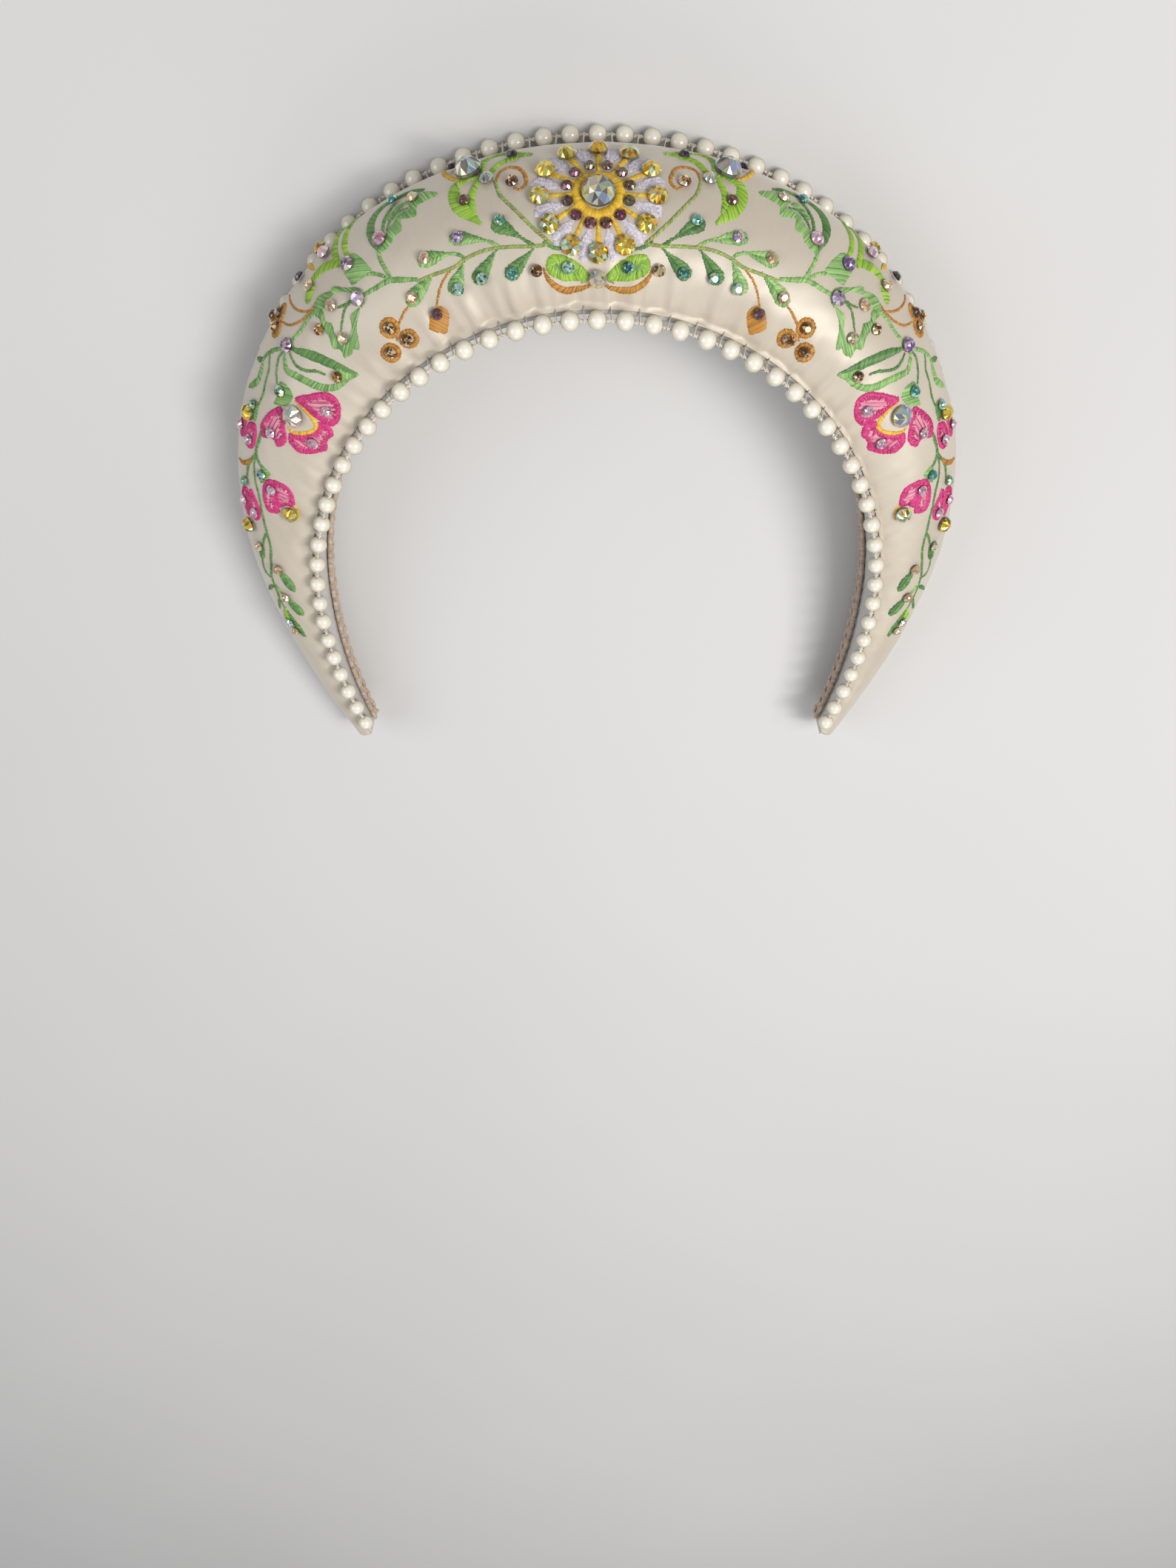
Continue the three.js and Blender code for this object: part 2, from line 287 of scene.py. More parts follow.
def add_object(name, data):
    obj = bpy.data.objects.new(name, data)
    bpy.context.scene.collection.objects.link(obj)
    return obj


def new_piece(name, shape, material, smooth=True):
    """A piece of the band. Its shape is vertices in millimetres, and faces."""
    mesh = bpy.data.meshes.new(name)
    verts, faces = shape
    mesh.from_pydata((verts * MM).tolist(), [], faces)
    mesh.validate()
    mesh.update()
    mesh.materials.append(material)
    mesh.polygons.foreach_set("use_smooth", [smooth] * len(mesh.polygons))
    obj = add_object(name, mesh)
    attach(obj, "root")
    return obj


def set_tones(obj, tones):
    """Gives each vertex its tone between dark and light, for the threads."""
    layer = obj.data.attributes.new("tone", "FLOAT", "POINT")
    layer.data.foreach_set("value", np.asarray(tones, dtype=np.float32))


def set_facets(obj, colors):
    """Gives each face its colour, for the cut stones."""
    layer = obj.data.attributes.new("facet", "FLOAT_COLOR", "FACE")
    flat = np.concatenate([colors, np.ones((len(colors), 1))], axis=1)
    layer.data.foreach_set("color", flat.ravel().astype(np.float32))


def set_uv(obj, uv):
    """uv holds a place for each vertex, in millimetres."""
    layer = obj.data.uv_layers.new(name="UVMap")
    loops = np.empty(len(obj.data.loops), dtype=np.int64)
    obj.data.loops.foreach_get("vertex_index", loops)
    layer.data.foreach_set("uv", np.asarray(uv)[loops].ravel().astype(np.float32))


def ring_faces(rings, around):
    """Quads between rings of equal count, in order along a path, and a cap at each end."""
    i = np.arange(rings * around).reshape(rings, around)
    j = np.roll(i, -1, axis=1)
    quads = np.stack([i[:-1], j[:-1], j[1:], i[1:]], -1)
    return [*quads.reshape(-1, 4).tolist(), i[0, ::-1].tolist(), i[-1].tolist()]


# Materials

class Look:
    """A material: its Principled shader, and short ways to add the nodes that feed it."""

    def __init__(self, name):
        self.material = bpy.data.materials.new(name)
        self.material.use_nodes = True
        self.tree = self.material.node_tree

    def feed(self, node, inputs):
        """Sets inputs to values, or links them to the outputs of other nodes."""
        for name, value in inputs.items():
            if isinstance(value, bpy.types.NodeSocket):
                self.tree.links.new(value, node.inputs[name])
            else:
                node.inputs[name].default_value = value

    def add(self, kind, output, inputs=(), **settings):
        """The output of a new node with these inputs and settings."""
        node = self.tree.nodes.new("ShaderNode" + kind)
        for name, value in settings.items():
            setattr(node, name, value)
        self.feed(node, dict(inputs))
        return node.outputs[output]

    def noise(self, scale, detail, vector=None):
        vector = vector or self.add("TexCoord", "Object")
        return self.add("TexNoise", "Fac", {"Vector": vector, "Scale": scale, "Detail": detail})

    def mix(self, a, b, factor):
        return self.add("Mix", "Result", {"A": a, "B": b, "Factor": factor})

    def between(self, value, low, high):
        return self.add("MapRange", "Result", {"Value": value, "To Min": low, "To Max": high})

    def bump(self, height, distance, strength):
        inputs = {"Height": height, "Distance": distance, "Strength": strength}
        return self.add("Bump", "Normal", inputs)

    def ramp(self, value, *stops):
        node = self.tree.nodes.new("ShaderNodeValToRGB")
        elements = node.color_ramp.elements
        while len(elements) < len(stops):
            elements.new(0.5)
        for element, (position, color) in zip(elements, stops):
            element.position = position
            element.color = (*color, 1)
        self.feed(node, {"Fac": value})
        return node.outputs["Color"]

    def shade(self, inputs):
        """Feeds the shader, and gives the material."""
        self.feed(self.tree.nodes["Principled BSDF"], inputs)
        return self.material


def satin_material():
    """Ivory satin: its long floats run across the band, with soft slubs and a sheen."""
    look = Look("ivory_satin")
    uv = look.add("UVMap", "UV", uv_map="UVMap")
    stretch = look.add("Mapping", "Vector", {"Vector": uv, "Scale": (2.6, 0.22, 1)})
    threads = look.noise(1, 4, stretch)
    tone = look.mix(look.noise(38, 2), threads, 0.3)
    return look.shade({
        "Base Color": look.ramp(tone, (0.3, (0.55, 0.48, 0.385)), (0.7, (0.64, 0.57, 0.47))),
        "Roughness": look.between(threads, 0.39, 0.49),
        "Normal": look.bump(threads, 0.00006, 0.25),
        "Tangent": look.add("Tangent", "Tangent", direction_type="UV_MAP", uv_map="UVMap"),
        "Anisotropic": 0.55, "Metallic": 0.08, "Specular IOR Level": 0.6,
        "Sheen Weight": 0.3, "Sheen Roughness": 0.4,
    })


def cloth_material(name, dark, light, thread_scale, roughness=0.85):
    """Plain matt weave with a little tone variation."""
    look = Look(name)
    return look.shade({
        "Base Color": look.ramp(look.noise(130, 4), (0.3, dark), (0.7, light)),
        "Normal": look.bump(look.noise(thread_scale, 2), 0.0002, 0.5),
        "Roughness": roughness, "Sheen Weight": 0.2,
    })


def thread_material(name, dark, light, fleck=None):
    """Embroidery thread: each stitch has its own tone, and the twist shows as bump."""
    look = Look(name)
    stitch = look.add("Attribute", "Fac", attribute_name="tone")
    tone = look.mix(stitch, look.noise(900, 2), 0.25)
    stops = [(0.0, fleck), (0.12, dark)] if fleck else [(0.05, dark)]
    return look.shade({
        "Base Color": look.ramp(tone, *stops, (0.95, light)),
        "Normal": look.bump(look.noise(3500, 1), 0.00006, 0.4),
        "Roughness": 0.42, "Specular IOR Level": 0.5,
        "Sheen Weight": 0.25, "Sheen Roughness": 0.35,
    })


def pearl_material():
    """Faux pearl: warm ivory lustre; its colour is darker and greener toward the rim, partly the
    coating's own tint and partly painted shade.
    """
    look = Look("pearl_lustre")
    rim = look.add("LayerWeight", "Facing", {"Blend": 0.35})
    # Painted shade: the base colour darkens toward the rim, where the pearl turns away from the
    # camera
    lustre = look.mix(rim, look.noise(260, 2), 0.16)
    return look.shade({
        "Base Color": look.ramp(lustre, (0.08, (0.90, 0.85, 0.74)), (0.36, (0.74, 0.68, 0.55)),
                                (0.66, (0.38, 0.33, 0.23))),
        "Roughness": 0.2, "Specular IOR Level": 0.65,
        "Coat Weight": 0.9, "Coat Roughness": 0.08,
        "Subsurface Weight": 0.12, "Subsurface Scale": 0.001,
    })


def stone_material(name):
    """Cut glass over foil: each facet carries its own colour, partly the glass and its iridescent
    coat, partly painted reflections and highlights.
    """
    look = Look(name)
    facet = look.add("Attribute", "Color", attribute_name="facet")
    # Painted glint: noise brightens and dims the facet colours in spots
    painted_glint = look.between(look.noise(420, 1), 0.75, 1.3)
    return look.shade({
        "Base Color": look.add("HueSaturation", "Color", {"Value": painted_glint, "Color": facet}),
        "Metallic": 0.55, "Roughness": 0.1, "Coat Weight": 1, "Coat Roughness": 0.02,
    })


SATIN = satin_material()
LINING = cloth_material("lining_cloth", (0.50, 0.485, 0.46), (0.56, 0.545, 0.52), 2600)
PEARL = pearl_material()
PEARL_THREAD = cloth_material("pearl_thread", (0.62, 0.57, 0.48), (0.80, 0.75, 0.66), 5200, 0.6)


# Padded satin band

def corner_cut(corner, back, ahead):
    """Three points of the quadratic arc that rounds a corner from back to ahead."""
    return [(1 - f) ** 2 * back + 2 * f * (1 - f) * corner + f**2 * ahead
            for f in (0.25, 0.5, 0.75)]


def padded_band():
    """Closed band: satin panel, flat back and inner wall, with rolled seams."""
    columns = np.linspace(0, len(ALONG_GRID) - 1, 641).astype(int)
    along = ALONG_GRID[columns]
    sec = sections(along)
    panel = [SATIN_POINTS[columns, j] for j in range(1, len(ACROSS_GRID) - 1, 2)]
    front, back = front_seam(sec), back_seam(sec)
    inner = rested(sec, FRONT_SEAM_R, sec["inner_back"])

    def toward(a, b, reach):
        return a + unit(b - a) * reach

    back_face = []
    back_start, back_end = toward(back, inner, 0.5), toward(inner, back, 0.6)
    for f in np.linspace(0, 1, 13):
        gathers = 0.22 * (smooth_noise(along, f, 21, 90, 1.5) - 1.3) * f * 4 * (1 - f)
        p = back_start * (1 - f) + back_end * f
        back_face.append(p - np.array([0, 0, 1.0]) * gathers[:, None])
    wall_start, wall_end = toward(inner, front, 0.6), toward(front, inner, 0.4)
    wall = [wall_start * (1 - f) + wall_end * f for f in (0, 0.33, 0.67, 1)]
    loop = (panel + corner_cut(back, panel[-1], back_face[0])
            + back_face + corner_cut(inner, back_face[-1], wall[0])
            + wall + corner_cut(front, wall[-1], panel[0]))
    rings = np.stack(loop, axis=1)
    faces = [f[::-1] for f in ring_faces(*rings.shape[:2])]
    band = new_piece("satin_band", (rings.reshape(-1, 3), faces), SATIN)
    step = np.linalg.norm(np.roll(rings, -1, axis=1) - rings, axis=-1).mean(axis=0)
    across_mm = np.concatenate([[0], np.cumsum(step)[:-1]])
    uv = np.stack(np.broadcast_arrays(along[:, None] * HALF_ARCH * 1.25, across_mm), -1)
    set_uv(band, uv.reshape(-1, 2))
    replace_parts(band, "padded_band")


# Pearl strands

PEARL_SIDES = 22
PEARL_LEVELS = 13
PEARL_HOLE = 0.13  # as a share of the pearl's radius
PLY_RADIUS = 0.26
PLY_OFFSET = 0.24
PLY_TWIST = 2.4
COUCHING_RADIUS = 0.15


def front_centers(sec):
    return rested(sec, 0.0, front_e(sec["w"]))


def back_centers(sec):
    r = sec["height"] + BACK_PEARL_R
    return rested(sec, r, back_e(sec["w"] + sec["out_w"] * r) + BACK_PEARL_E)


def path_points(center_of, count=1601):
    """Evenly indexed points of a strand's thread and their run, in millimetres."""
    points = center_of(sections(np.linspace(-1, 1, count)))
    run = np.concatenate([[0], np.cumsum(np.linalg.norm(np.diff(points, axis=0), axis=1))])
    return points, run


def along_path(points, run, distance):
    """Places at distances along a path, and its directions there."""
    at, ahead, behind = (
        np.stack([np.interp(distance + step, run, points[:, k]) for k in range(3)], -1)
        for step in (0, 0.5, -0.5))
    return at, unit(ahead - behind)


def frames_along(tangent):
    """Two directions square to each tangent, the first nearest to straight down."""
    down = np.array([0, 0, -1.0])
    a = unit(down - tangent * (tangent @ down)[..., None])
    return a, np.cross(tangent, a)


def circles(tangent, sides):
    """A unit circle square to each tangent, as offsets from its middle."""
    a, b = frames_along(tangent)
    angle = np.linspace(0, TURN, sides, endpoint=False)[:, None]
    return a[:, None] * np.cos(angle) + b[:, None] * np.sin(angle)


def tube(points, radius, sides):
    """Vertices and faces of a capped tube through points."""
    ring = circles(unit(np.gradient(points, axis=0)), sides)
    return (points[:, None] + ring * radius).reshape(-1, 3), ring_faces(len(points), sides)


def joined(parts):
    verts, faces, start = [], [], 0
    for part_verts, part_faces in parts:
        verts.append(part_verts)
        faces += [tuple(i + start for i in f) for f in part_faces]
        start += len(part_verts)
    return np.concatenate(verts), faces


def pearl(center, tangent, radius):
    """A pearl with a small dimple at each end of its drilled hole."""
    ring = circles(tangent[None], PEARL_SIDES)[0]
    rings = []
    for level in np.linspace(0, math.pi, PEARL_LEVELS):
        x, size = -math.cos(level) * radius, max(math.sin(level), PEARL_HOLE) * radius
        if level in (0, math.pi):
            x *= 0.9
        rings.append(center + tangent * x + ring * size)
    return np.concatenate(rings), ring_faces(PEARL_LEVELS, PEARL_SIDES)


def couching(points, run, seam_of, places, rng):
    """Loops of sewing thread that hold a strand to its seam, one at each place."""
    loops = []
    seams = seam_of(sections(np.interp(places, run, np.linspace(-1, 1, len(run)))))
    at, tangent = along_path(points, run, places)
    out = unit(at - seams)
    square = unit(np.cross(tangent, out))
    turn = np.linspace(-math.pi / 2, math.pi / 2, 5)[:, None]
    for seam, center, ahead, away, n in zip(seams, at, tangent, out, square):
        root = seam - away * 1.1 + ahead * rng.uniform(-0.6, 0.6)
        bend = center + 0.62 * (away * np.cos(turn) + n * np.sin(turn))
        loop = np.concatenate([[root - n * 0.3], bend, [root + n * 0.3]])
        loops.append(tube(loop, COUCHING_RADIUS, 5))
    return loops


def strand(name, center_of, seam_of, pitch, node):
    """Pearls of slightly uneven size, on a thread of two twisted plies."""
    points, run = path_points(center_of)
    per_side = int((run[-1] / 2 - THREAD_TAIL - PEARL_RADIUS) / pitch)
    middles = run[-1] / 2 + np.arange(-per_side, per_side + 1) * pitch
    rng = np.random.default_rng(len(name))
    parts = []
    for middle in middles:
        at, tangent = along_path(points, run, np.array([middle + rng.normal(0, 0.12)]))
        tilt = unit(tangent[0] + rng.normal(0, 0.06, 3))
        parts.append(pearl(at[0], tilt, PEARL_RADIUS * (1 - abs(rng.normal(0, 0.012)))))
    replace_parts(new_piece(name, joined(parts), PEARL), node)
    s = np.arange(middles[0] - PEARL_RADIUS - 1.2, middles[-1] + PEARL_RADIUS + 1.2, 0.3)
    at, tangent = along_path(points, run, s)
    a, b = frames_along(tangent)
    parts = []
    for phase in (0, math.pi):
        turn = (TURN * s / PLY_TWIST + phase)[:, None]
        ply = at + PLY_OFFSET * (a * np.cos(turn) + b * np.sin(turn))
        parts.append(tube(ply, PLY_RADIUS, 5))
    gaps = (middles[1:] + middles[:-1]) / 2
    parts += couching(points, run, seam_of, gaps, rng)
    new_piece(name + "_thread", joined(parts), PEARL_THREAD)


# Lining and braid inside the opening

LINING_OUTER = FRONT_SEAM_R - CLEARANCE
BRAID_OUTER = LINING_OUTER - LINING_THICKNESS - CLEARANCE
TRIM_REACH = 1 - TRIM_END_SETBACK / HALF_ARCH
BRAID_PERIOD = 12.3
BRAID_CORD = 0.7


def inner_lining():
    along = np.linspace(-TRIM_REACH, TRIM_REACH, 401)
    sec = sections(along)
    front, back = sec["front_seam"] + TRIM_SETBACK, sec["inner_back"] - TRIM_SETBACK
    low, high = LINING_OUTER - LINING_THICKNESS, FRONT_SEAM_R - 0.03
    ripple = np.clip(0.12 * smooth_noise(along, 0, 31, 60, 0), 0, 1)
    profile = [(low + 0.3, 0.0), (low + 0.05, 0.03), (low, 0.12), (low + 0.1, 0.5),
               (low, 0.88), (low + 0.05, 0.97), (low + 0.3, 1.0), (high, 1.0),
               (high, 0.5), (high, 0.0)]
    rings = []
    for r, share in profile:
        wave = (r < high) * ripple * math.sin(math.pi * share)
        rings.append(rested(sec, r + wave, front + (back - front) * share))
    rings = np.stack(rings, axis=1)
    shape = rings.reshape(-1, 3), ring_faces(*rings.shape[:2])
    lining = new_piece("lining_strip", shape, LINING)
    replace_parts(lining, "inner_lining")


def lining_braid():
    """Three cords that cross over and under each other in loops along the rear edge."""
    along = np.linspace(-TRIM_REACH, TRIM_REACH, 1200)
    sec = sections(along)
    back = sec["inner_back"] - TRIM_SETBACK
    front = np.maximum(back - BRAID_WIDTH, sec["front_seam"] + TRIM_SETBACK)
    middle, half = (front + back) / 2, (back - front) / 2 - BRAID_CORD
    parts = []
    for phase in (0, TURN / 3, 2 * TURN / 3):
        turn = TURN * (along * HALF_ARCH) / BRAID_PERIOD + phase
        r = BRAID_OUTER - BRAID_THICKNESS / 2 + 0.22 * np.cos(2 * turn)
        parts.append(tube(rested(sec, r, middle + half * np.sin(turn)), BRAID_CORD, 6))
    material = thread_material("braid_cord", (0.33, 0.235, 0.165), (0.62, 0.49, 0.39),
                               (0.12, 0.06, 0.03))
    braid = new_piece("braid_cords", joined(parts), material)
    tones = np.random.default_rng(41).uniform(0.1, 1, len(parts) * len(along))
    set_tones(braid, np.repeat(tones, 6))
    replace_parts(braid, "lining_braid")


# Embroidery

THREAD_WIDTH = 0.34
STITCH_STEP = 0.27
STITCH_SPREAD = 0.26  # of the tones of single stitches
SPLINE_STEPS = np.linspace(0, 1, 24, endpoint=False)[:, None]


def curve(points):
    """Smooth curve through places given as shares, resampled in stitch steps."""
    ends = [2 * points[0] - points[1], *points, 2 * points[-1] - points[-2]]
    fine = [spline(*ends[i:i + 4], SPLINE_STEPS) for i in range(len(points) - 1)]
    return even(np.concatenate(fine + [points[-1:]]), STITCH_STEP)


def closed_curve(points, step=STITCH_STEP):
    """Smooth closed curve, always anticlockwise."""
    ahead = np.roll(points, -1, axis=0)
    if np.sum(points[:, 0] * ahead[:, 1] - points[:, 1] * ahead[:, 0]) < 0:
        points = points[::-1]
    ends = [points[-1], *points, points[0], points[1]]
    fine = [spline(*ends[i:i + 4], SPLINE_STEPS) for i in range(len(points))]
    return even(np.concatenate(fine + [points[:1]]), step)[:-1]


def even(shares, step):
    lengths = np.linalg.norm(np.diff(shares, axis=0) * scales(shares[:-1]), axis=1)
    run = np.concatenate([[0], np.cumsum(lengths)])
    count = max(int(round(run[-1] / step)), 2)
    at = np.linspace(0, run[-1], count + 1)
    return np.stack([np.interp(at, run, shares[:, k]) for k in range(2)], -1)


def shifted(shares, mm):
    """Places moved by millimetres (along, across)."""
    return shares + np.asarray(mm) / scales(shares)


def left_of(shares, closed=False):
    """Unit millimetre directions to the left of a curve of shares, and along it."""
    if closed:
        d = np.roll(shares, -1, axis=0) - np.roll(shares, 1, axis=0)
    else:
        d = np.gradient(shares, axis=0)
    d = unit(d * scales(shares))
    return np.stack([-d[:, 1], d[:, 0]], -1), d


class Stitches:
    """Collects stitches of one thread colour and makes them one mesh."""

    def __init__(self):
        self.batches = []

    def add(self, a, b, height, tone=0.5, ragged=0.22):
        """Stitches from a to b, with uneven ends. Short ones stand less high."""
        a, b = np.asarray(a, float), np.asarray(b, float)
        d = (b - a) * scales(a)
        length = np.linalg.norm(d, axis=1, keepdims=True) + 1e-9
        d = d / length
        n = len(a)
        a = shifted(a, -d * RNG.uniform(-0.3, 1, (n, 1)) * ragged)
        b = shifted(b, d * RNG.uniform(-0.3, 1, (n, 1)) * ragged)
        height = np.minimum(height, 0.16 + 0.2 * length[:, 0])
        tone = np.clip(tone + RNG.normal(0, STITCH_SPREAD, n), 0, 1)
        self.batches.append((a, b, height, tone))

    def column(self, points, width, tone, slant=0.5, height=0.42, taper=1.0, every=1):
        """Satin column along a curve: width in millimetres, tapered at its two ends."""
        line = curve(points)[::every]
        normal, tangent = left_of(line)
        f = np.linspace(0, 1, len(line))
        ends = np.minimum(np.minimum(f, 1 - f) / 0.25, 1) * (1 - taper) + taper
        widths = np.interp(f, np.linspace(0, 1, np.size(width)), np.atleast_1d(width)) * ends
        half = widths[:, None] / 2
        reach = normal * half + tangent * slant * half
        self.add(shifted(line, -reach), shifted(line, reach), height, tone)

    def leaf(self, base, tip, width, fullest, tone=0.5, height=0.5, ragged=0.35):
        """Filled leaf or drop: slanted stitches from the midrib to both edges."""
        scale = scales((base + tip) / 2)
        d = (tip - base) * scale
        length = np.linalg.norm(d)
        d = d / length
        n = np.array([-d[1], d[0]])
        f = np.arange(0, length, STITCH_STEP)[:, None] / length
        mid = base + d * length * f / scale
        power = math.log(0.5) / math.log(fullest)
        half = width / 2 * np.sin(math.pi * np.clip(f, 0, 1) ** power) ** 0.8
        for side in (-1, 1):
            edge = mid + (n * side * half + d * 0.55 * half) / scale
            # Painted light and shade: one half of each leaf is toned lighter, the other darker
            self.add(mid - (d * 0.1 * half + n * side * 0.12) / scale, edge, height,
                     tone + 0.2 * side, ragged)

    def ring(self, outline, width, uneven, turn=0.0):
        """Long and short stitches inward from a closed outline."""
        line = closed_curve(outline)
        normal, tangent = left_of(line, closed=True)
        reach = width * RNG.uniform(1 - uneven, 1 + uneven, (len(line), 1))
        self.add(line, shifted(line, normal * reach + tangent * turn), 0.6)

    def fill(self, outline, angle, height, tone=0.5, inset=0.0, step=STITCH_STEP):
        """Parallel stitches over a closed outline, at an angle from along in degrees."""
        line = closed_curve(outline, 0.4)
        line = shifted(line, left_of(line, closed=True)[0] * inset)
        middle = line.mean(axis=0)
        scale = scales(middle)
        c, s = math.cos(math.radians(angle)), math.sin(math.radians(angle))
        p = (line - middle) * scale @ np.array([[c, -s], [s, c]])
        q = np.roll(p, -1, axis=0)
        starts, stops = [], []
        for level in np.arange(p[:, 1].min() + step / 2, p[:, 1].max(), step):
            hit = (p[:, 1] - level) * (q[:, 1] - level) < 0
            f = (level - p[hit, 1]) / (q[hit, 1] - p[hit, 1])
            xs = np.sort(p[hit, 0] + f * (q[hit, 0] - p[hit, 0]))
            for x0, x1 in zip(xs[::2], xs[1::2]):
                starts.append((x0, level))
                stops.append((x1, level))
        back = np.array([[c, s], [-s, c]])
        ends = (middle + np.array(side) @ back / scale for side in (starts, stops))
        self.add(*ends, height, tone)

    def disc(self, center, outer, inner):
        """Round pad of radial stitches, radii in millimetres."""
        count = int(TURN * outer / (STITCH_STEP * 1.15))
        angle = np.linspace(0, TURN, count, endpoint=False)
        ray = np.stack([np.cos(angle), np.sin(angle)], -1)
        scale = scales(center)
        self.add(center + ray * inner / scale, center + ray * outer / scale, 0.5)

    def build(self, name, material):
        """One mesh: each stitch is a low ridge whose ends sink into the satin."""
        a, b, height, tone = (np.concatenate(part) for part in zip(*self.batches))
        f = np.array([0, 0.14, 0.5, 0.86, 1.0])
        profile = np.array([-0.3, 0.62, 1.0, 0.62, -0.3])
        shares = a[:, None] * (1 - f)[:, None] + b[:, None] * f[:, None]
        normal = grid_value(SATIN_NORMALS, shares)
        lift = normal * (height[:, None] * profile)[..., None]
        spine = grid_value(SATIN_POINTS, shares) + lift
        side = unit(np.cross(normal, unit(spine[:, -1] - spine[:, 0])[:, None]))
        half = side * (THREAD_WIDTH / 2)
        drop = normal * THREAD_WIDTH * 0.42
        verts = np.stack([spine - half - drop, spine, spine + half - drop], axis=2)
        c = np.arange(len(f) * 3).reshape(len(f), 3)
        one = np.stack([c[:-1, :-1], c[1:, :-1], c[1:, 1:], c[:-1, 1:]], -1).reshape(-1, 4)
        faces = (one + np.arange(len(a))[:, None, None] * c.size).reshape(-1, 4).tolist()
        obj = new_piece(name, (verts.reshape(-1, 3), faces), material)
        set_tones(obj, np.repeat(tone, c.size))


DARK, LEAF, LIME, PINK, PALE, OCHRE, GOLD, LILAC = (Stitches() for _ in range(8))

# Motifs of one half, charted on the right side, as along,across in thousandths.
# CHART_SPREAD and CHART_SHIFT make them places that are even on both sides of the crown.
CHART_SPREAD = 1.015
CHART_SHIFT = 0.004

# Stems of green thread wound with ochre: width, line
TWISTED = [
    (0.75, "91,585 89,520 84,480 72,405 60,340 45,275"),
    (0.75, "48,275 63,276 85,290 102,301 120,305 136,299 152,285 170,290 192,298"),
]

# Leaves and drops: thread, base and tip, width, place of the fullest part
LEAVES = [
    (DARK, "69,298 100,406", 3.9, 0.72),
    (LEAF, "104,330 145.5,401", 3.7, 0.72),
    (LEAF, "145,338 184,366", 4, 0.68),
    (DARK, "63,268 98,176", 3.9, 0.68),
    (DARK, "101,297 134,194", 3.9, 0.68),
    (LEAF, "137,297 162.5,188", 4, 0.68),
    (LEAF, "172,296 214.5,235", 4, 0.64),
    (DARK, "640,300 679,182", 3.3, 0.55),
    (DARK, "688,298 723,166", 3.3, 0.55),
    (DARK, "612,402 640,470", 2.3, 0.6),
    (LIME, "712,350 746,415", 2.6, 0.55),
]

